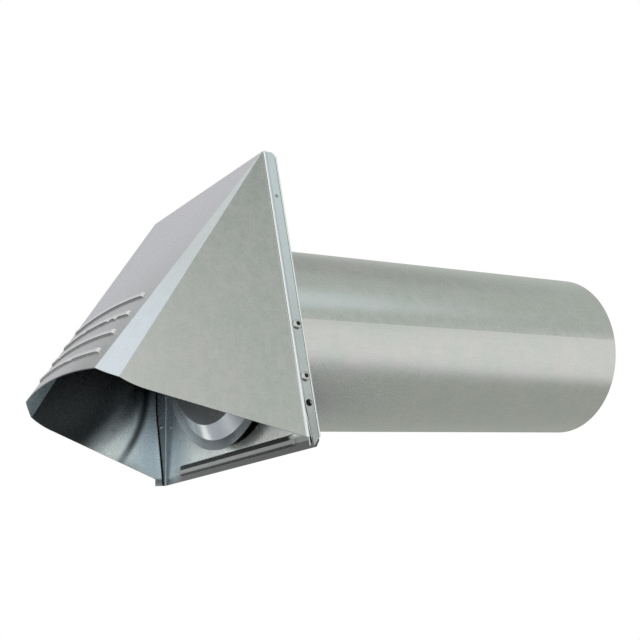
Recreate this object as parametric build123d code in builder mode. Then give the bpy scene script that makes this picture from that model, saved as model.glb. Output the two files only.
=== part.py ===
from build123d import *
import os
from math import atan2, cos, hypot, pi, radians, sin, sqrt, tan

# Galvanised steel wall vent hood with a tail pipe for a 4 inch duct. Millimetres.
# Origin: on the pipe's axis, at the back face of the wall plate. The front is -Y, the pipe runs along +Y.

# Sheet thicknesses
hood_sheet = 0.5
plate_sheet = 0.6
pipe_sheet = 0.5
flap_sheet = 0.5

# Back of the hood: a strip that stands square to the wall and wraps the wall plate
back_top = 85.5
back_bottom = -71.0
top_width = 126.0
bottom_width = 166.0
strip_depth = 7.0
strip_top_clip = 2.5
edge_roll_radius = 0.45
nest_gap = 0.05

# Hood creases, by where each meets the mouth: width across, reach from the wall, drop from the top
lip_width = 91.0
lip_reach = 98.0
lip_drop = 115.0
lip_bow = 5.5
corner_width = 114.0
corner_reach = 90.0
corner_drop = 119.5
apex_drop = 1.0
inner_apex_drop = 4.5

# Mouth edge, seen from the side: straight from the panel's foot to the knee, then swept up past the lip
panel_foot = -67.0
knee_reach = 79.0
knee_height = -41.5
sweep_reach = 103.0
sweep_height = -22.0

# Hem along each side fold, and the slit that opens beside it at the right foot, where the corner is clipped
hem_radius = 0.7
strip_foot_clip = 4.5
slit_top = -50.0
slit_width = 1.5

# Pressed beads across the front face
bead_count = 4
bead_first_drop = 76.8
bead_pitch = 9.2
bead_radius = 2.0
bead_height = 1.3
bead_end_margin = 10.5
bead_rise = 1.8

# Wall plate
flange_depth = 6.0
flange_taper_top = -27.0
flange_foot_depth = 1.4
flange_inset = 14.0
plate_bend = 0.8
rib_length = 122.0
rib_height = -65.0
rib_width = 6.0
rib_rise = 1.7
rib_taper = 30.0
hole_gap = 0.15
collar_depth = 2.4

# Tail pipe
pipe_diameter = 101.6
pipe_length = 254.0
swage_width = 2.5
swage_rise = 1.0
rim_stand = 6.6
rim_diameter = 115.0
rim_bend = 1.0
seam_angle = 160.0
seam_width = 9.0
seam_thickness = 1.1
seam_end_margin = 4.0
seam_line_width = 0.5
seam_line_depth = 0.2

# Damper flap: a flat rim round a raised cone
flap_seat_gap = 0.3
cone_outer_diameter = 111.4
cone_width = 8.2
cone_rise = 5.0
flap_rim_width = 5.3
knuckle_offset = 23.0
knuckle_length = 10.0

# Hinge
pin_radius = 1.0
pin_stand = 5.0
pin_gap = 0.05
pin_head_radius = 1.7
pin_head_length = 0.8
lug_side_gap = 0.5
lug_height = 8.0
lug_margin = 3.0

# Rivets, a screw hole on the right and dimples on the side strips, at heights measured along the strip
rivet_heights = (-10.3, -37.2)
rivet_shank_radius = 1.1
rivet_head_radius = 2.6
rivet_head_height = 1.5
rivet_bore_radius = 1.1
rivet_bore_depth = 1.1
rivet_shoulder_radius = 2.0
rivet_shoulder_height = 1.0
rivet_tail_radius = 1.35
rivet_tail_flat_radius = 0.8
rivet_tail_root_radius = 1.3
rivet_tail_height = 0.7
rivet_gap = 0.05
screw_height = -50.4
screw_radius = 1.8
dimple_height = 60.0
dimple_radius = 2.2
dimple_depth = 0.25

# Derived places
clear = 20.0
pipe_radius = pipe_diameter / 2
bore_radius = pipe_radius - pipe_sheet
back_height = back_top - back_bottom
lean = atan2((bottom_width - top_width) / 2, back_height)
strip_middle = (hem_radius - strip_depth) / 2 - edge_roll_radius
foot_clip_side = sqrt(2) * strip_foot_clip
hole_radius = pipe_radius + hole_gap
collar_bend = plate_bend + plate_sheet
rim_face = -plate_sheet - rim_stand
flap_back = rim_face - flap_seat_gap
flap_front = flap_back - flap_sheet
cone_outer_radius = cone_outer_diameter / 2
cone_inner_radius = cone_outer_radius - cone_width
flap_radius = cone_outer_radius + flap_rim_width
flap_centre = flap_front - cone_rise
tab_root = sqrt((cone_outer_radius + flap_rim_width / 2) ** 2 - knuckle_offset**2)
knuckle_radius = pin_radius + pin_gap + flap_sheet
pin_height = flap_radius + pin_stand
pin_depth = flap_front + knuckle_radius
lug_face = knuckle_offset + knuckle_length / 2 + lug_side_gap
lug_reach = lug_margin - pin_depth
rib_wall = plate_sheet * tan(pi / 4 - radians(rib_taper) / 2)
plate_inset = hood_sheet + nest_gap


def half_width(drop):
    """Half the width across the side strips, at a drop below the hood's top."""
    return top_width / 2 + drop * tan(lean)


def crease(width, reach, full_drop, drop):
    """Point of a straight crease that runs from the hood's top corner to the mouth."""
    share = drop / full_drop
    x = top_width / 2 + (width - top_width) / 2 * share
    return Vector(x, -strip_depth - (reach - strip_depth) * share)


def outer_corners(drop):
    """Right half of the hood's outline at one height: back edge, strip fold, side crease, front crease."""
    fold = Vector(half_width(drop), -strip_depth)
    side = crease(corner_width, corner_reach, corner_drop, drop)
    front = crease(lip_width, lip_reach, lip_drop, drop)
    return [Vector(fold.X, 0), fold, side, front]


def bow(drop):
    """How far the middle of the front face stands out of the flat."""
    return lip_bow * drop / lip_drop


def level_share(a, b, c):
    """Level part of a panel's unit normal. A level cut shows the sheet thicker by its inverse."""
    normal = (b - a).cross(c - a).normalized()
    return hypot(normal.X, normal.Y)


def inner_corners(drop):
    """The same outline on the inside of the sheet, each panel moved in by the sheet's thickness."""
    outer = outer_corners(drop)
    points = outer + [Vector(-outer[-1].X, outer[-1].Y)]
    apex = Vector(top_width / 2, -strip_depth, drop)
    lines = []
    for start, end in zip(points, points[1:]):
        along = (end - start).normalized()
        shift = hood_sheet / level_share(apex, start, end)
        lines.append((start + Vector(along.Y, -along.X) * shift, along))
    inner = [Vector(lines[0][0].X, clear)]
    for (p, u), (q, v) in zip(lines, lines[1:]):
        gap = q - p
        inner.append(p + u * ((gap.X * v.Y - gap.Y * v.X) / (u.X * v.Y - u.Y * v.X)))
    return inner


def level_section(points, drop):
    """Level face of the hood from its right half outline, the mirror image of that and the bowed front."""
    left = [Vector(-p.X, p.Y) for p in reversed(points)]
    with BuildSketch(Plane.XY.offset(back_top - drop)) as section:
        with BuildLine():
            Polyline(*left, *points)
            ThreePointArc(points[-1], (0, points[-1].Y - bow(drop)), left[0])
        make_face()
    return section.sketch


def back_outline(inset, depth, foot):
    """Outline of the hood's back, drawn in on its sides and top, at a depth in front of the wall."""
    top = back_top - apex_drop - inset
    side_inset = inset / cos(lean)
    with BuildSketch(Plane.XZ.offset(depth)) as outline:
        with BuildLine():
            right = [(half_width(back_top - z) - side_inset, z) for z in (foot, top)]
            Polyline(*right, *[(-x, z) for x, z in reversed(right)], close=True)
        make_face()
    return outline.sketch


def front_middle(drop):
    """Point on the middle line of the front face."""
    return Vector(0, outer_corners(drop)[-1].Y - bow(drop), back_top - drop)


def bead_path(number):
    """Arc just under the bowed front face that rises towards the middle."""
    end_drop = bead_first_drop + number * bead_pitch
    middle_drop = end_drop - bead_rise
    slope = front_middle(middle_drop) - front_middle(end_drop)
    inward = Vector(0, slope.Z, -slope.Y).normalized()
    sink = inward * (bead_radius - bead_height)
    middle = front_middle(middle_drop) + sink
    edge_x = outer_corners(end_drop)[-1].X
    end_x = edge_x - bead_end_margin
    fall = bow(end_drop) * (end_x / edge_x) ** 2
    end = front_middle(end_drop) + Vector(0, fall, 0) + sink
    return Edge.make_three_point_arc(Vector(-end_x, end.Y, end.Z), middle, Vector(end_x, end.Y, end.Z))


def rod(path, radius, domed=False):
    """Round rod along an edge, with ball ends where it is domed."""
    with BuildPart() as piece:
        with BuildSketch(Plane(origin=path @ 0, z_dir=path % 0)):
            Circle(radius)
        sweep(path=path)
        if domed:
            with Locations(path @ 0, path @ 1):
                Sphere(radius)
    return piece.part


def strip_plane(side):
    """Outer face of a side strip: local X runs up the strip and local Z points outwards."""
    origin = (side * half_width(back_top), strip_middle, 0)
    up = (-side * sin(lean), 0, cos(lean))
    return Plane(origin=origin, x_dir=up, z_dir=(side * cos(lean), 0, sin(lean)))


def hem_line(side):
    """Fold between a side strip and its panel, from the panel's foot to the top."""
    ends = [back_top - panel_foot, apex_drop]
    points = [Vector(side * half_width(drop), -strip_depth, back_top - drop) for drop in ends]
    return Edge.make_line(*points)


def back_edge(side):
    """Back edge of a side strip, where its rolled rim runs. The right one stops at the clipped foot."""
    foot_clip = strip_foot_clip if side > 0 else 0
    ends = [back_height - foot_clip, apex_drop + strip_top_clip]
    points = [Vector(side * half_width(drop), -edge_roll_radius, back_top - drop) for drop in ends]
    return Edge.make_line(*points)


def punch(plane, heights, radius):
    """Round pins through a side strip, to cut holes with."""
    with BuildPart() as piece:
        with BuildSketch(plane):
            with Locations(*[(height, 0) for height in heights]):
                Circle(radius)
        extrude(amount=strip_depth, both=True)
    return piece.part


strip_planes = [strip_plane(1), strip_plane(-1)]
low_drop = back_height + clear
outer_levels = [level_section(outer_corners(drop), drop) for drop in (apex_drop, low_drop)]
inner_levels = [level_section(inner_corners(drop), drop) for drop in (inner_apex_drop, low_drop)]
hood_cavity = back_outline(hood_sheet, 0, back_bottom)
plate_face = back_outline(plate_inset, 0, back_bottom)
plate_pocket = back_outline(plate_inset + plate_sheet, plate_sheet, back_bottom - clear)
bead_paths = [bead_path(number) for number in range(bead_count)]
raised_rods = [rod(path, bead_radius, domed=True) for path in bead_paths]
raised_rods += [rod(hem_line(side), hem_radius) for side in (1, -1)]
raised_rods += [rod(back_edge(side), edge_roll_radius) for side in (1, -1)]
hollow_rods = [rod(path, bead_radius - hood_sheet, domed=True) for path in bead_paths]
rivet_pins = [punch(plane, rivet_heights, rivet_shank_radius + rivet_gap) for plane in strip_planes]
screw_pin = punch(strip_planes[0], [screw_height], screw_radius)

# Hood: one folded sheet, open at the back and at the mouth
with BuildPart() as hood:
    loft(sections=outer_levels, ruled=True)
    add(raised_rods)
    loft(sections=inner_levels, ruled=True, mode=Mode.SUBTRACT)
    extrude(hood_cavity, amount=strip_depth - hood_sheet, mode=Mode.SUBTRACT)
    add(hollow_rods, mode=Mode.SUBTRACT)
    with BuildSketch(Plane.YZ):
        with BuildLine():
            foot = Line((-strip_depth, panel_foot), (-knee_reach, knee_height))
            lip = TangentArc(foot @ 1, (-sweep_reach, sweep_height), tangent=foot % 1)
            Polyline(
                lip @ 1,
                (-2 * lip_reach, sweep_height),
                (-2 * lip_reach, back_bottom - 2 * clear),
                (clear, back_bottom - 2 * clear),
                (clear, back_bottom),
                (-strip_depth, back_bottom),
                foot @ 0,
            )
        make_face()
    extrude(amount=bottom_width, both=True, mode=Mode.SUBTRACT)
    with BuildSketch(Plane.YZ):
        with BuildLine():
            Polyline(
                (hem_radius - strip_depth, slit_top),
                (hem_radius - strip_depth, back_bottom),
                (hem_radius + slit_width - strip_depth, back_bottom),
                close=True,
            )
        make_face()
        with Locations((0, back_bottom)):
            Rectangle(foot_clip_side, foot_clip_side, rotation=45)
    extrude(amount=bottom_width, mode=Mode.SUBTRACT)
    with BuildSketch(Plane.YZ):
        with Locations((0, back_top - apex_drop)):
            Rectangle(sqrt(2) * strip_top_clip, sqrt(2) * strip_top_clip, rotation=45)
    extrude(amount=bottom_width, both=True, mode=Mode.SUBTRACT)
    add(rivet_pins + [screw_pin], mode=Mode.SUBTRACT)
    for plane in strip_planes:
        with Locations(plane.location * Pos(dimple_height, 0, dimple_radius - dimple_depth)):
            Sphere(dimple_radius, mode=Mode.SUBTRACT)

# Wall plate: one pressed pan, flanges inside the hood's strips, with a collar drawn forward round the pipe
with BuildPart() as wall_plate:
    extrude(plate_face, amount=flange_depth)
    extrude(plate_pocket, amount=flange_depth, mode=Mode.SUBTRACT)
    back_edges = wall_plate.faces().sort_by(Axis.Y)[-1].edges().sort_by(Axis.Z)[1:]
    fillet(back_edges, plate_bend + plate_sheet)
    web_front = wall_plate.faces().filter_by(Axis.Y).sort_by(Axis.Y)[-2]
    fillet(web_front.edges().sort_by(Axis.Z)[1:], plate_bend)
    with BuildSketch(Plane.XZ.offset(plate_sheet)):
        with Locations((0, rib_height)):
            Rectangle(rib_length, rib_width)
    extrude(amount=rib_rise, taper=rib_taper)
    with BuildSketch(Plane.XZ):
        with Locations((0, rib_height)):
            Rectangle(rib_length - 2 * rib_wall, rib_width - 2 * rib_wall)
    extrude(amount=rib_rise, taper=rib_taper, mode=Mode.SUBTRACT)
    for side in (1, -1):
        with BuildSketch(Plane.YZ.offset(side * (bottom_width / 2 - flange_inset))):
            with BuildLine():
                Polyline(
                    (-flange_depth, flange_taper_top),
                    (-flange_foot_depth, back_bottom),
                    (-flange_depth, back_bottom),
                    close=True,
                )
            make_face()
        extrude(amount=side * flange_inset, mode=Mode.SUBTRACT)
    with BuildSketch(Plane.XZ):
        Circle(hole_radius + collar_bend)
        for side in (1, -1):
            with Locations((side * (lug_face + plate_sheet + lug_reach / 2), pin_height)):
                Rectangle(lug_reach, lug_height)
        with Locations((half_width(back_height), back_bottom)):
            Rectangle(foot_clip_side, foot_clip_side, rotation=45)
    extrude(amount=flange_depth, both=True, mode=Mode.SUBTRACT)
    with BuildSketch(Plane.XY):
        with BuildLine():
            inside = Line((hole_radius, -collar_depth), (hole_radius, -collar_bend))
            back_turn = TangentArc(inside @ 1, (hole_radius + collar_bend, 0), tangent=inside % 1)
            web = Line(back_turn @ 1, (hole_radius + collar_bend, -plate_sheet))
            front_turn = TangentArc(web @ 1, (hole_radius + plate_sheet, -collar_bend), tangent=(-1, 0))
            Polyline(front_turn @ 1, (hole_radius + plate_sheet, -collar_depth), inside @ 0)
        make_face()
    revolve(axis=Axis.Y)
    for side in (1, -1):
        with BuildSketch(Plane.YZ.offset(side * lug_face)):
            with Locations((0, pin_height)):
                Rectangle(lug_reach - lug_margin, lug_height, align=(Align.MAX, Align.CENTER))
            with Locations((pin_depth, pin_height)):
                Circle(lug_height / 2)
                Circle(pin_radius + pin_gap, mode=Mode.SUBTRACT)
        extrude(amount=side * plate_sheet)
    add(rivet_pins + [screw_pin], mode=Mode.SUBTRACT)

# The lock seam's plane lies on the pipe's open end: local X points from the axis to the seam
seam_out = Vector(1, 0, 0).rotate(Axis.Y, -seam_angle)
seam_plane = Plane((0, pipe_length, 0), x_dir=seam_out, z_dir=(0, -1, 0))

# Tail pipe: one rolled tube, swaged on both sides of the plate's collar, with a rolled front rim
with BuildPart() as tail_pipe:
    with BuildSketch(Plane.XY):
        with BuildLine():
            outside = Line((pipe_radius, pipe_length), (pipe_radius, swage_width))
            back_swage = ThreePointArc(
                outside @ 1,
                (pipe_radius + swage_rise, swage_width / 2),
                (pipe_radius, 0),
            )
            grip = Line(back_swage @ 1, (pipe_radius, -collar_depth))
            front_swage = ThreePointArc(
                grip @ 1,
                (pipe_radius + swage_rise, -collar_depth - swage_width / 2),
                (pipe_radius, -collar_depth - swage_width),
            )
            neck = Line(front_swage @ 1, (pipe_radius, rim_face + pipe_sheet + rim_bend))
            outer_bend = RadiusArc(neck @ 1, (pipe_radius + rim_bend, rim_face + pipe_sheet), -rim_bend)
            rim = Polyline(
                outer_bend @ 1,
                (rim_diameter / 2, rim_face + pipe_sheet),
                (rim_diameter / 2, rim_face),
                (pipe_radius + rim_bend, rim_face),
            )
            inner_bend = RadiusArc(
                rim @ 1, (bore_radius, rim_face + pipe_sheet + rim_bend), rim_bend + pipe_sheet
            )
            Polyline(inner_bend @ 1, (bore_radius, pipe_length), (pipe_radius, pipe_length))
        make_face()
    revolve(axis=Axis.Y)
    with BuildSketch(seam_plane.offset(seam_end_margin)):
        with Locations((bore_radius + pipe_sheet / 2, 0)):
            Rectangle(seam_thickness + pipe_sheet / 2, seam_width, align=(Align.MAX, Align.CENTER))
    extrude(amount=pipe_length - 2 * seam_end_margin)
    with BuildSketch(seam_plane):
        with Locations((pipe_radius - seam_line_depth, seam_width / 2)):
            Rectangle(swage_rise, seam_line_width, align=(Align.MIN, Align.CENTER))
    extrude(amount=pipe_length - swage_width, mode=Mode.SUBTRACT)

# Damper flap: one stamped disc with a raised middle and two rolled knuckles
cone_angle = atan2(cone_rise, cone_width)
bend_shift = flap_sheet * tan(cone_angle / 2)
with BuildPart() as damper_flap:
    with BuildSketch(Plane.XY):
        with BuildLine():
            Polyline(
                (0, flap_centre),
                (cone_inner_radius, flap_centre),
                (cone_outer_radius, flap_front),
                (flap_radius, flap_front),
                (flap_radius, flap_back),
                (cone_outer_radius - bend_shift, flap_back),
                (cone_inner_radius - bend_shift, flap_centre + flap_sheet),
                (0, flap_centre + flap_sheet),
                close=True,
            )
        make_face()
    revolve(axis=Axis.Y)
    for side in (1, -1):
        with BuildSketch(Plane.XZ.offset(-flap_back)):
            with Locations((side * knuckle_offset, pin_height)):
                Rectangle(knuckle_length, pin_height - tab_root, align=(Align.CENTER, Align.MAX))
        extrude(amount=flap_sheet)
        with BuildSketch(Plane.YZ.offset(side * knuckle_offset - knuckle_length / 2)):
            with Locations((pin_depth, pin_height)):
                Circle(knuckle_radius)
        extrude(amount=knuckle_length)
        with BuildSketch(Plane.YZ.offset(side * knuckle_offset - knuckle_length / 2)):
            with Locations((pin_depth, pin_height)):
                Circle(pin_radius + pin_gap)
        extrude(amount=knuckle_length, mode=Mode.SUBTRACT)

# Hinge pin: straight wire through both lugs, with peened ends
with BuildPart() as hinge_pin:
    with BuildSketch(Plane.YZ):
        with Locations((pin_depth, pin_height)):
            Circle(pin_radius)
    extrude(amount=lug_face + plate_sheet + pin_gap, both=True)
    for side in (1, -1):
        with BuildSketch(Plane.YZ.offset(side * (lug_face + plate_sheet + pin_gap))):
            with Locations((pin_depth, pin_height)):
                Circle(pin_head_radius)
        extrude(amount=side * pin_head_length)
    rings = hinge_pin.edges().group_by(Axis.X)
    fillet(rings[0] + rings[-1], pin_head_length / 2)

# Rivets: domed heads outside the strips, with an open bore, and set tails inside the plate's flanges
grip_length = hood_sheet + nest_gap + plate_sheet
tail_end = -grip_length - rivet_tail_height
rivet_places = [plane.location * Pos(height, 0, 0) for plane in strip_planes for height in rivet_heights]
with BuildPart() as rivet:
    with BuildSketch(Plane.XZ):
        with BuildLine():
            Polyline(
                (0, rivet_head_height - rivet_bore_depth),
                (0, tail_end),
                (rivet_tail_flat_radius, tail_end),
            )
            tail_round = ThreePointArc(
                (rivet_tail_flat_radius, tail_end),
                (rivet_tail_radius, -grip_length - rivet_tail_height / 2),
                (rivet_tail_root_radius, -grip_length),
            )
            Polyline(
                tail_round @ 1,
                (rivet_shank_radius, -grip_length),
                (rivet_shank_radius, 0),
                (rivet_head_radius, 0),
            )
            ThreePointArc(
                (rivet_head_radius, 0),
                (rivet_shoulder_radius, rivet_shoulder_height),
                (rivet_bore_radius, rivet_head_height),
            )
            Polyline(
                (rivet_bore_radius, rivet_head_height),
                (rivet_bore_radius, rivet_head_height - rivet_bore_depth),
                (0, rivet_head_height - rivet_bore_depth),
            )
        make_face()
    revolve(axis=Axis.Z)

with BuildPart() as rivets:
    with Locations(*rivet_places):
        add(rivet.part)

pieces = {
    "hood": hood,
    "wall_plate": wall_plate,
    "tail_pipe": tail_pipe,
    "damper_flap": damper_flap,
    "hinge_pin": hinge_pin,
    "rivets": rivets,
}
os.makedirs("parts", exist_ok=True)
for name, piece in pieces.items():
    piece.part.label = name
    export_step(piece.part, f"parts/{name}.step")
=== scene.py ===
from math import asin, atan2, degrees, pi, radians

import bpy
from mathutils import Euler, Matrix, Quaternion, Vector

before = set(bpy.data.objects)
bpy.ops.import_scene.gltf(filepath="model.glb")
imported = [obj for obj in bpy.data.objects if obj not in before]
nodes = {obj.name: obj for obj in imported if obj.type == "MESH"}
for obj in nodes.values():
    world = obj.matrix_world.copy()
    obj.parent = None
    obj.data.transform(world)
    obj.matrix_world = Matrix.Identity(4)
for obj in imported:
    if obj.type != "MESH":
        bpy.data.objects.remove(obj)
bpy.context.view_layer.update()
scene = bpy.context.scene
scene.view_settings.view_transform = "Standard"
bpy.ops.object.select_all(action="DESELECT")

# Lengths are in metres: X across, Y into the wall, Z up, from where the pipe's axis meets the wall.
# A pair of numbers is where a mark begins to show and where it is full.

# Faint casts of the zinc
plain_cast = (1.0, 1.0, 1.0)
green_cast = (0.975, 1.01, 0.965)
beige_cast = (1.005, 1.0, 0.975)
blue_cast = (0.92, 1.0, 1.03)
deep_blue_cast = (0.85, 1.0, 1.08)
pipe_cast = (0.97, 1.015, 0.96)
flap_cast = (0.95, 1.0, 1.02)
fold_highlight_cast = (0.98, 1.0, 1.01)
strip_cast = (0.96, 1.0, 1.0)
facet_cast = (0.96, 1.0, 1.02)

# Point inside the hood, behind every panel, strip and facet, and the blur between inside and outside
hood_core = (0.0, -0.025, -0.01)
inside_blur = 0.0008

# Inside of the hood, in painted shade: where the painted dark crown ends along a side panel, where the sheet
# behind the painted bend grows bright with painted light, and the painted shade of the lip at the foot
panel_slope = (0.0, 0.89, -1.0)
panel_depths = (-0.007, 0.017)
crown_level = 0.07
crown_heights = (-0.022, -0.046)
crown_shares = (0.35, 1.0)
side_heights = (-0.008, -0.054)
side_levels = (0.06, 0.98)
lip_heights = (-0.0678, -0.0660)
lip_shares = (0.28, 1.0)

# Painted reflection of a soft bend down the inside of each side panel: its reach from the wall at its top,
# how fast it runs out below, and the painted shade in its groove
bend_top = -0.0164
bend_reach = 0.0143
bend_curve = 10.6
bend_blur = 0.001
groove_widths = (0.0050, 0.0004)
groove_heights = (-0.064, -0.044)
groove_shades = (0.40, 0.86)

# Narrow facets beside the front face, by the way their inside looks, with painted light on their inside and
# a painted highlight on the lower part of their outside
facet_look = (0.62, 0.66, -0.42)
facet_match = (0.93, 0.97)
facet_level = 0.72
facet_foot_heights = (0.035, -0.020)
facet_foot_level = 0.67

# Beads of the front face, by how far they lean up or down its slope, with a painted highlight along their
# backs and painted shade at their feet
face_down = (0.0, -0.624, -0.781)
bead_leans = (0.12, 0.18)
bead_foot_leans = (0.55, 0.67)
bead_reach = (-0.030, -0.040)
bead_heights = (-0.0225, -0.0205)
bead_level = 0.95
bead_highlight_share = 0.85
bead_shade = 0.20

# Strips of the hood along the wall, with a painted highlight on their hems and rims, and painted shade
# beside the hem, round the dimple and towards their foot
strip_depth = 0.007
strip_lean = 0.1278
strip_line = 0.0739
strip_sides = (strip_line - 0.0012, strip_line - 0.0006)
strip_middle = 0.0037
strip_widths = (0.0029, 0.0026)
strip_level = 0.64
strip_front = (-0.0050, -0.0062)
strip_front_share = 0.35
strip_foot = (-0.040, -0.062)
strip_foot_share = 0.3
strip_shade = 0.2
hem_widths = (0.0012, 0.0008)
rim_reach = (-0.0011, -0.0007)
fold_highlight_level = 0.93
fold_highlight_share = 0.9

# Bores of the right side's rivets and the dimple above them, darkened with painted shade. The left side has
# the same places mirrored.
rivet_bores = ((0.0761, -0.0036, -0.0101), (0.0795, -0.0036, -0.0368))
bore_radius = 0.0012
bore_level = 0.12
dimple = (0.0663, -0.0036, 0.0595)
dimple_radius = 0.001
dimple_share = 0.6
spot_edges = (1.08, 0.94)

# Painted shade in the slit beside the right strip's hem, and on the plate behind it
painted_shade_level = 0.02
right_side = (0.0, 0.01)
slit_top = -0.042
slit_foot = -0.069
slit_flare = 0.065
slit_inset = 0.0006
slit_blur = 0.0002
behind_slit = (0.0726, 0.0736)
behind_slit_feet = (slit_foot, slit_foot + 0.001)
behind_slit_tops = (slit_top, slit_top - 0.003)

# Pipe: its wall, the painted shadow on its neck between the plate and the rolled rim, and the bare metal
# left in its bore
pipe_radius = 0.0508
pipe_wall = (pipe_radius - 0.0004, pipe_radius - 0.0002)
neck_back = (-0.0005, -0.0015)
neck_front = (-0.0068, -0.0062)
neck_level = 0.03
bore_metal = 0.35

# Wall plate: its web with painted shade over its left part, its rib in painted shade and darker at its foot,
# a painted shade line along the rib's upper slope and a painted shadow round the pipe's collar
web_front = (-0.0003, -0.0005)
web_level = 0.97
web_left = (-0.072, -0.036)
left_heights = (-0.025, -0.058)
left_levels = (0.44, 0.54)
rib_slope_foot = -0.0622
rib_slope_top = -0.0650
rib_slope_blur = 0.0002
rib_ends = (0.061, 0.057)
rib_left = (-0.078, -0.058)
rib_level = 0.42
rib_foot_heights = (-0.0671, -0.0667)
rib_foot_level = 0.17
collar_reach = (pipe_radius + 0.0083, pipe_radius + 0.0072)

# Flanges of the wall plate, tapered towards their feet, in painted shade with a painted highlight on their
# cut edges, and the painted shadow in the seam where the hood meets them
flange_line = 0.0719
flange_sides = (flange_line - 0.0012, flange_line - 0.0006)
flange_reach = (-0.0006, -0.0010)
flange_depth = 0.006
flange_taper_top = -0.027
flange_taper = 0.1045
flange_level = 0.32
flange_back_level = 0.03
flange_back = (0.0, 0.001)
edge_way = (0.0, -1.0, 0.0)
edge_match = (0.5, 0.8)
edge_sides = (strip_line - 0.0013, strip_line - 0.0011)
edge_level = 0.9
seam_reach = (-0.0014, -0.0009)
seam_sides = (flange_line - 0.002, flange_line)
seam_level = 0.012

# Flap: a painted highlight on its cone, and painted shade on the rim round it, darkest in the middle
cone_edge = (0.0472, 0.0475)
cone_level = 0.92
flap_rim_edge = (0.0554, 0.0557)
rim_left = (-0.050, -0.014)
rim_left_levels = (0.80, 0.27)
rim_right = (0.004, 0.026)
rim_right_gain = 0.55

# Zinc: features to the metre, and the ways that rolling streaks run
grain_scale = 950.0
bloom_scale = 170.0
drift_scale = 48.0
streak_scale = 700.0
spangle_scale = 420.0
along_pipe = ((0, 0, 0), (1, 0.10, 1))
down_sheet = ((0, 0.6, 0), (1, 1, 0.14))


class Field:
    """A socket in a node tree. Arithmetic on fields adds Math nodes."""

    def __init__(self, tree, socket=None):
        self.tree = tree
        self.socket = socket

    def node(self, kind, inputs=None, output=0, **settings):
        """Adds a node, makes its settings, then fills or links its inputs, and gives one of its outputs."""
        made = self.tree.nodes.new("ShaderNode" + kind)
        for name, value in settings.items():
            setattr(made, name, value)
        for name, value in (inputs or {}).items():
            if isinstance(value, Field):
                self.tree.links.new(value.socket, made.inputs[name])
            else:
                made.inputs[name].default_value = value
        return Field(self.tree, made.outputs[output] if made.outputs else None)

    def math(self, operation, first, second):
        return self.node("Math", {0: first, 1: second}, operation=operation)

    def __add__(self, other):
        return self.math("ADD", self, other)

    def __sub__(self, other):
        return self.math("SUBTRACT", self, other)

    def __mul__(self, other):
        return self.math("MULTIPLY", self, other)

    def __rsub__(self, other):
        return self.math("SUBTRACT", other, self)

    __radd__ = __add__
    __rmul__ = __mul__

    def larger(self, other):
        return self.math("MAXIMUM", self, other)

    def spread(self, low, high, to_low=0.0, to_high=1.0):
        """Maps the range from low to high smoothly onto another range, held at its ends."""
        limits = {"From Min": low, "From Max": high, "To Min": to_low, "To Max": to_high}
        return self.node("MapRange", {"Value": self, **limits}, interpolation_type="SMOOTHSTEP")

    def noise(self, scale, detail, roughness):
        """Fractal noise at this place, with about scale features to the metre."""
        settings = {"Vector": self, "Scale": scale, "Detail": detail, "Roughness": roughness}
        return self.node("TexNoise", settings)

    def mapped(self, turn=(0, 0, 0), scale=(1, 1, 1)):
        """The same place turned and with its axes scaled."""
        return self.node("Mapping", {"Vector": self, "Rotation": turn, "Scale": scale})

    def dot(self, other):
        return self.node("VectorMath", {0: self, 1: other}, output="Value", operation="DOT_PRODUCT")

    def distance(self, point):
        return self.node("VectorMath", {0: self, 1: point}, output="Value", operation="DISTANCE")

    def away_from(self, point):
        """Vector from a fixed point to this place."""
        return self.node("VectorMath", {0: self, 1: point}, operation="SUBTRACT")

    def axes(self):
        """The three parts of this place."""
        return [self.node("SeparateXYZ", {"Vector": self}, output=axis) for axis in "XYZ"]

    def blend(self, first, second):
        """Colour that goes from first to second as this field goes from 0 to 1."""
        return self.node("Mix", {"Factor": self, 6: first, 7: second}, output=2, data_type="RGBA")


def new_material(name):
    material = bpy.data.materials.new(name)
    material.use_nodes = True
    material.node_tree.nodes.clear()
    return material, Field(material.node_tree)


def tint(level, cast=plain_cast):
    """Grey of one level with a faint cast, as a colour."""
    return [level * share for share in cast] + [1.0]


def mottled(mottle, level, cast=plain_cast):
    """Colour that swings by a sixth about one level."""
    return mottle.blend(tint(level * 5 / 6, cast), tint(level * 7 / 6, cast))


def shaded(mottle, level, cast):
    """Mottled colour whose level changes over the sheet."""
    return (level * (mottle * (1 / 3) + 5 / 6)).blend(tint(0.0), tint(1.0, cast))


def swing(field, share):
    """A field from 0 to 1 as a swing about 0."""
    return (field - 0.5) * share


def size_of(field):
    return field.math("ABSOLUTE", field, 0)


def look(place):
    """Way that the surface looks."""
    return place.node("TexCoord", output="Normal")


def outward(place):
    """Above 0 on faces that look away from the middle of the hood, below 0 on faces that look into it."""
    return look(place).dot(place.away_from(hood_core))


def within(place):
    """1 on the inside of the hood."""
    return outward(place).spread(inside_blur, -inside_blur)


def side_line(place):
    """Distance from the middle, evened out for the lean of the sides."""
    across, _, height = place.axes()
    return size_of(across) + height * strip_lean


def from_axis(place):
    """Distance from the pipe's axis."""
    return place.mapped(scale=(1, 0, 1)).distance((0, 0, 0))


def near_pair(place, spot, radius):
    """1 within a radius of a spot on the right side or of its mirror image on the left."""
    across, out, height = place.axes()
    mirrored = place.node("CombineXYZ", {"X": size_of(across), "Y": out, "Z": height})
    return mirrored.distance(spot).spread(*[radius * edge for edge in spot_edges])


def on_facets(place, side):
    """1 on the narrow facets, on their inside for side 1 and on their outside for side -1."""
    look_x, look_y, look_z = look(place).axes()
    look_aside = size_of(look_x) * facet_look[0]
    look_back = look_y * facet_look[1] + look_z * facet_look[2]
    return (look_aside + look_back * side).spread(*facet_match)


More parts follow.
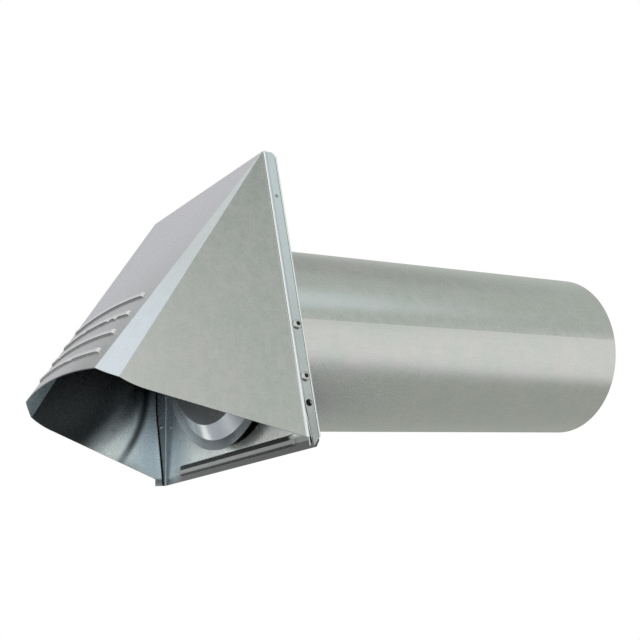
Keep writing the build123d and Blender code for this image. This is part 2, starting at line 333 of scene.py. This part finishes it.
def on_beads(place):
    """1 along the backs of the front face's beads, except at their feet."""
    out, height = place.axes()[1:]
    lean = size_of(look(place).dot(face_down))
    back = lean.spread(*bead_leans) * (1 - lean.spread(*bead_foot_leans)) * (1 - within(place))
    return back * out.spread(*bead_reach) * height.spread(*bead_heights)


def bead_highlight_metal(place):
    """Share of bare metal on the hood: less along the beads' backs, under their painted highlight."""
    return 1 - on_beads(place) * bead_highlight_share


def painted_inside_shade(place, mottle):
    """Painted shade and light inside the hood, a painted bend down each side panel and a painted seam
    shadow.
    """
    out, height = place.axes()[1:]
    below_bend_top = (bend_top - height).larger(0.0)
    beside = below_bend_top * below_bend_top * bend_curve + bend_reach + out
    # Painted shade: darkest at the crown, with painted light lower down and behind the painted bend
    ahead = place.dot(panel_slope).spread(*panel_depths) * height.spread(*crown_heights, *crown_shares)
    ahead = ahead * (1 - crown_level) + crown_level
    behind = height.spread(*side_heights, *side_levels)
    level = ahead + (behind - ahead) * beside.spread(-bend_blur, bend_blur)
    # Painted shade in the painted bend's groove
    groove = size_of(beside).spread(*groove_widths) * height.spread(*groove_heights, *groove_shades)
    level = level * (1 - groove)
    # Painted light on the inside of the narrow facets
    level = level + (facet_level - level) * on_facets(place, 1)
    # Painted shade along the lip at the foot
    level = level * height.spread(*lip_heights, *lip_shares)
    # Painted shadow in the seam where the hood meets the plate's flange
    flange_edge = ((flange_taper_top - height) * flange_taper).larger(0.0) - flange_depth
    seam = (out - flange_edge).spread(*seam_reach) * side_line(place).spread(*seam_sides)
    return seam.blend(shaded(mottle, level, blue_cast), tint(seam_level))


def dress_hood(place, mottle, colour):
    """Painted highlights on folds, facet feet and beads, painted shade on strips, slit and bead feet, and
    inside.
    """
    across, out, height = place.axes()
    # Painted highlight along the hems and rims
    fold_highlight = size_of(out + strip_depth).spread(*hem_widths).larger(out.spread(*rim_reach))
    colour = (fold_highlight * fold_highlight_share).blend(colour, tint(fold_highlight_level, fold_highlight_cast))

    strip = side_line(place).spread(*strip_sides) * size_of(out + strip_middle).spread(*strip_widths)
    colour = strip.blend(colour, mottled(mottle, strip_level, strip_cast))
    # Painted shade beside the hem, round the dimple and towards the strips' foot
    shades = (
        (out.spread(*strip_front), strip_front_share, blue_cast),
        (near_pair(place, dimple, dimple_radius), dimple_share, plain_cast),
        (height.spread(*strip_foot), strip_foot_share, plain_cast),
    )
    for shade, share, cast in shades:
        colour = (strip * shade * share).blend(colour, tint(strip_shade, cast))
    # Painted shade in the slit beside the right strip's hem
    slit_edge = (slit_top - height) * slit_flare - strip_depth + slit_inset
    slit = (slit_edge - out).spread(-slit_blur, slit_blur) * strip * across.spread(*right_side)
    colour = slit.blend(colour, tint(painted_shade_level))

    # Painted highlight on the lower part of the narrow facets' outside
    facet_foot = on_facets(place, -1) * height.spread(*facet_foot_heights)
    colour = facet_foot.blend(colour, mottled(mottle, facet_foot_level, facet_cast))
    # Painted highlight along the beads' backs, and painted shade on faces that look down
    colour = on_beads(place).blend(colour, mottled(mottle, bead_level, beige_cast))
    bead_foot = look(place).dot(face_down).spread(*bead_foot_leans)
    colour = bead_foot.blend(colour, mottled(mottle, bead_shade))
    # Painted shade and painted light over the inside of the hood
    return within(place).blend(colour, painted_inside_shade(place, mottle))


def dress_plate(place, mottle, colour):
    """Bright web with painted shade on its left, rib and collar, and flanges in painted shade with bright
    edges.
    """
    across, out, height = place.axes()
    # Painted shade over the web's left part and over its rib
    left = shaded(mottle, height.spread(*left_heights, *left_levels), deep_blue_cast)
    web = across.spread(*web_left).blend(left, mottled(mottle, web_level, green_cast))
    rib_foot = mottled(mottle, rib_foot_level, green_cast)
    rib = height.spread(*rib_foot_heights).blend(rib_foot, mottled(mottle, rib_level, green_cast))
    on_rib = height.spread(rib_slope_foot, rib_slope_top) * across.spread(*rib_left)
    web = on_rib.blend(web, rib)

    # Painted shade along the rib's upper slope, painted shadow round the collar and painted shade behind the
    # slit
    line = height.spread(rib_slope_top, rib_slope_top + rib_slope_blur)
    line = line * height.spread(rib_slope_foot + rib_slope_blur, rib_slope_foot)
    line = line * size_of(across).spread(*rib_ends)
    collar = from_axis(place).spread(*collar_reach)
    slit = across.spread(*behind_slit) * height.spread(*behind_slit_feet) * height.spread(*behind_slit_tops)
    web = line.larger(collar).larger(slit).blend(web, tint(painted_shade_level))
    colour = out.spread(*web_front).blend(colour, web)

    # Painted shade on both sides of the flanges and a painted highlight on their cut edges
    flange = side_line(place).spread(*flange_sides) * out.spread(*flange_reach)
    inner_side = mottled(mottle, flange_level, deep_blue_cast)
    sides = outward(place).spread(*flange_back).blend(inner_side, tint(flange_back_level))
    edge = look(place).dot(edge_way).spread(*edge_match) * side_line(place).spread(*edge_sides)
    return flange.blend(colour, edge.blend(sides, tint(edge_level)))


def dress_pipe(place, mottle, colour):
    """Painted shadow on the pipe's neck, between the plate and the rolled rim."""
    out = place.axes()[1]
    # Painted shadow on the neck
    neck = out.spread(*neck_back) * out.spread(*neck_front) * from_axis(place).spread(*pipe_wall)
    return neck.blend(colour, tint(neck_level))


def dull_bore(place):
    """Share of bare metal on the pipe: less inside it, where the zinc has gone dull."""
    return from_axis(place).spread(*pipe_wall, bore_metal, 1.0)


def dress_flap(place, mottle, colour):
    """Painted highlight on the cone and painted shade on the rim round the flap, darkest in the middle."""
    across = place.axes()[0]
    reach = from_axis(place)
    # Painted highlight on the cone, then painted shade on the rim round it
    colour = reach.spread(*cone_edge).blend(colour, mottled(mottle, cone_level, flap_cast))
    rim_level = across.spread(*rim_left, *rim_left_levels) + across.spread(*rim_right, 0.0, rim_right_gain)
    return reach.spread(*flap_rim_edge).blend(colour, shaded(mottle, rim_level, blue_cast))


def dress_rivets(place, mottle, colour):
    """Painted shade in the bores of the hollow rivets."""
    first, second = [near_pair(place, spot, bore_radius) for spot in rivet_bores]
    return first.larger(second).blend(colour, tint(bore_level))


def galvanised(name, level, rough, rolling, cast=green_cast, dress=None, metal=1.0):
    """Zinc coated sheet: fine grain, faint spangles, soft blooms, rolling streaks and a drift of its cast.

    dress is a function that paints a piece's painted light and shade over the sheet, and metal is the share
    of bare metal or a function that gives it.
    """
    material, tree = new_material(name)
    place = tree.node("TexCoord", output="Object")
    grain = place.noise(grain_scale, 2.0, 0.55)
    bloom = place.noise(bloom_scale, 3.0, 0.6)
    drift = place.noise(drift_scale, 2.0, 0.5)
    streaks = place.mapped(*rolling).noise(streak_scale, 2.0, 0.5)
    spangles = tree.node("TexVoronoi", {"Vector": place, "Scale": spangle_scale}, output="Color")
    spangle = tree.node("SeparateColor", {"Color": spangles})
    fine = swing(grain, 0.20) + swing(spangle, 0.06) + swing(streaks, 0.24)
    mottle = fine + swing(bloom, 0.38) + swing(drift, 0.24) + 0.5
    cast_share = (bloom * 0.5 + drift * 0.5).spread(0.38, 0.62)
    colour = cast_share.blend(mottled(mottle, level, cast), mottled(mottle, level, beige_cast))
    if dress:
        colour = dress(place, mottle, colour)
    sheen = swing(grain, 0.08) + swing(spangle, 0.04) + swing(bloom, 0.08) + rough
    relief = grain * 0.6 + spangle * 0.1 + streaks * 0.3
    bump = tree.node("Bump", {"Strength": 0.03, "Distance": 0.0002, "Height": relief})
    bare = metal(place) if callable(metal) else metal
    surface = {"Base Color": colour, "Metallic": bare, "Roughness": sheen, "Normal": bump}
    tree.node("OutputMaterial", {"Surface": tree.node("BsdfPrincipled", surface)})
    return material


# Each CAD node gets its material in every slot
finishes = {
    "hood": galvanised("galvanised_hood", 0.575, 0.28, down_sheet, green_cast, dress_hood, bead_highlight_metal),
    "wall_plate": galvanised("galvanised_plate", 0.60, 0.29, down_sheet, green_cast, dress_plate, 0.84),
    "tail_pipe": galvanised("galvanised_pipe", 0.59, 0.26, along_pipe, pipe_cast, dress_pipe, dull_bore),
    "damper_flap": galvanised("bright_flap", 0.78, 0.18, down_sheet, flap_cast, dress_flap, 0.84),
    "hinge_pin": galvanised("plated_pin", 0.72, 0.22, down_sheet),
    "rivets": galvanised("plated_rivets", 0.56, 0.24, down_sheet, green_cast, dress_rivets),
}
for name, material in finishes.items():
    for holder in nodes[name].material_slots:
        holder.material = material


def seen_white(tree):
    """1 for what the camera, a reflection or glass sees directly, 0 for light that is shed."""
    camera_ray = tree.node("LightPath", output="Is Camera Ray")
    glossy_ray = tree.node("LightPath", output="Is Glossy Ray")
    return camera_ray.larger(glossy_ray).larger(tree.node("LightPath", output="Is Transmission Ray"))


# World: white for what the camera and the metal see, softer for the light that it sheds
world = bpy.data.worlds.new("studio_white")
scene.world = world
world.use_nodes = True
world.node_tree.nodes.clear()
sky = Field(world.node_tree)
shed = sky.node("Background", {"Color": (0.96, 0.98, 1.0, 1), "Strength": 0.75})
shown = sky.node("Background", {"Color": (1, 1, 1, 1), "Strength": 1.0})
sky.node("OutputWorld", {"Surface": sky.node("MixShader", {0: seen_white(sky), 1: shed, 2: shown})})


def reflections_only(board, tree, solid, colour):
    """Lets a board glow where it is solid, clear elsewhere, for reflections alone."""
    glow = tree.node("Emission", {"Color": colour, "Strength": 1.0})
    clear = tree.node("BsdfTransparent")
    tree.node("OutputMaterial", {"Surface": tree.node("MixShader", {0: solid, 1: clear, 2: glow})})
    board.visible_camera = False
    board.visible_diffuse = False
    board.visible_shadow = False


def card(name, radius, turn, rise, fade, colour):
    """Curved board round the set that only reflections see.

    turn and rise are its ends in degrees, round from +X and up from level, and fade is the width over which
    it grows clear at the two upright ends, the lower edge and the upper edge.
    """
    bpy.ops.object.select_all(action="DESELECT")
    bpy.ops.mesh.primitive_uv_sphere_add(segments=144, ring_count=72, radius=radius)
    board = bpy.context.object
    board.name = name
    bpy.ops.object.mode_set(mode="EDIT")
    bpy.ops.mesh.select_all(action="DESELECT")
    bpy.ops.object.mode_set(mode="OBJECT")
    for face in board.data.polygons:
        x, y, z = face.center
        round_from_end = (degrees(atan2(y, x)) - turn[0]) % 360
        up = degrees(asin(z / face.center.length))
        face.select = not (round_from_end < turn[1] - turn[0] and rise[0] < up < rise[1])
    bpy.ops.object.mode_set(mode="EDIT")
    bpy.ops.mesh.delete(type="FACE")
    bpy.ops.object.mode_set(mode="OBJECT")
    material, tree = new_material(name)
    board.data.materials.append(material)
    place = tree.node("TexCoord", output="Object").mapped(turn=(0, 0, -radians(sum(turn) / 2)))
    ahead, aside, above = place.axes()
    around = aside.math("ARCTAN2", aside, ahead) * (180 / pi)
    height = above.math("ARCSINE", above * (1 / radius), 0) * (180 / pi)
    half = (turn[1] - turn[0]) / 2
    solid = around.spread(-half, fade[0] - half) * around.spread(half, half - fade[0])
    solid = solid * height.spread(rise[0], rise[0] + fade[1]) * height.spread(rise[1], rise[1] - fade[2])
    reflections_only(board, tree, solid, colour)


def mat(name, height, across, along, fade, colour):
    """Level sheet over the floor that only reflections see.

    across and along are its ends in X and in Y, and fade is the width of its soft edges.
    """
    middle = (sum(across) / 2, sum(along) / 2, height)
    half_x = (across[1] - across[0]) / 2
    half_y = (along[1] - along[0]) / 2
    bpy.ops.object.select_all(action="DESELECT")
    bpy.ops.mesh.primitive_plane_add(size=2.0, location=middle)
    sheet = bpy.context.object
    sheet.name = name
    sheet.scale = (half_x, half_y, 1.0)
    bpy.ops.object.transform_apply(location=False, scale=True)
    material, tree = new_material(name)
    sheet.data.materials.append(material)
    x, y, _ = tree.node("TexCoord", output="Object").axes()
    solid = size_of(x).spread(half_x, half_x - fade) * size_of(y).spread(half_y, half_y - fade)
    reflections_only(sheet, tree, solid, colour)


def lamp(name, place, aim, size, watts, colour):
    """Square soft lamp."""
    data = bpy.data.lights.new(name, "AREA")
    data.size = size
    data.energy = watts
    data.color = colour
    made = bpy.data.objects.new(name, data)
    scene.collection.objects.link(made)
    made.location = place
    made.rotation_euler = (Vector(aim) - Vector(place)).to_track_quat("-Z", "Y").to_euler()


# Glowing boards and sheets that only reflections see: painted reflections of studio walls, a ceiling, and
# the shade below the hood
card("grey_wall", 1.50, (-11, 162), (9, 70), (13, 3, 12), (0.60, 0.64, 0.605, 1))
card("dim_upper_wall", 1.45, (-18, 26), (27, 70), (14, 10, 12), (0.40, 0.43, 0.40, 1))
card("dim_back_wall", 1.44, (70, 160), (36, 76), (16, 12, 12), (0.50, 0.51, 0.50, 1))
card("pale_side_wall", 1.43, (18, 54), (22, 50), (10, 6, 10), (0.90, 1.00, 1.03, 1))
card("lilac_wall", 1.40, (140, 200), (6, 60), (16, 12, 12), (0.72, 0.72, 0.77, 1))
card("left_wall", 1.38, (179, 236), (1, 50), (16, 4, 14), (0.42, 0.42, 0.43, 1))
card("low_back_wall", 1.35, (96, 176), (-14, 8), (20, 3, 6), (0.42, 0.44, 0.41, 1))
card("blue_ceiling", 1.30, (-140, -40), (42, 80), (20, 10, 10), (0.96, 1.03, 1.08, 1))
mat("dark_mat", -0.305, (-0.40, 0.50), (-0.62, 0.28), 0.16, (0.14, 0.15, 0.155, 1))
mat("left_mat", -0.300, (-0.92, -0.30), (-0.80, 0.12), 0.14, (0.33, 0.35, 0.37, 1))
mat("grey_mat", -0.310, (-1.50, 0.37), (0.16, 1.60), 0.16, (0.49, 0.51, 0.475, 1))
lamp("overhead_softbox", (0.03, -0.72, 1.15), (0, -0.05, 0.02), 0.7, 0.20, (0.94, 0.98, 1.0))

# Floor below the hung object, white further out and clear from underneath
floor_radius = 1.6
floor_middle = Vector((0, 0.08, 0))
floor_drop = Vector((0, 0, -0.32))
floor_white = (0.38, 0.75)
bpy.ops.object.select_all(action="DESELECT")
bpy.ops.mesh.primitive_circle_add(
    vertices=96, radius=floor_radius, fill_type="NGON", location=floor_middle + floor_drop
)
bpy.ops.object.transform_apply(location=True)
floor = bpy.context.object
floor.name = "floor"
floor_material, tree = new_material("pale_floor")
floor.data.materials.append(floor_material)
place = tree.node("TexCoord", output="Object")
speckle = place.noise(9.0, 3.0, 0.5).blend((0.80, 0.80, 0.80, 1), (0.83, 0.83, 0.83, 1))
matt = tree.node("BsdfDiffuse", {"Color": speckle})
bright = tree.node("Emission", {"Color": (1, 1, 1, 1), "Strength": 1.0})
far_off = place.mapped(scale=(1, 1, 0)).distance(floor_middle).spread(*floor_white) * seen_white(tree)
cover = tree.node("MixShader", {0: far_off, 1: matt, 2: bright})
from_below = tree.node("NewGeometry", output="Backfacing")
clear = tree.node("BsdfTransparent")
tree.node("OutputMaterial", {"Surface": tree.node("MixShader", {0: from_below, 1: cover, 2: clear})})

# Camera at the photograph's viewing angle, with its focal length in pixels of the picture
view_side = radians(55.052)
view_rise = radians(-12.95)
view_roll = radians(-4.929)
focal_pixels = 1141.919
picture_pixels = 640.0
eye = bpy.data.cameras.new("photo_camera")
eye.sensor_width = 36.0
eye.lens = focal_pixels * eye.sensor_width / picture_pixels
camera = bpy.data.objects.new("photo_camera", eye)
scene.collection.objects.link(camera)
camera.location = (0.529785, -0.307198, -0.134676)
camera.rotation_mode = "QUATERNION"
camera.rotation_quaternion = (
    Euler((pi / 2 - view_rise, 0, view_side)).to_quaternion() @ Quaternion((0, 0, 1), view_roll)
)
scene.camera = camera
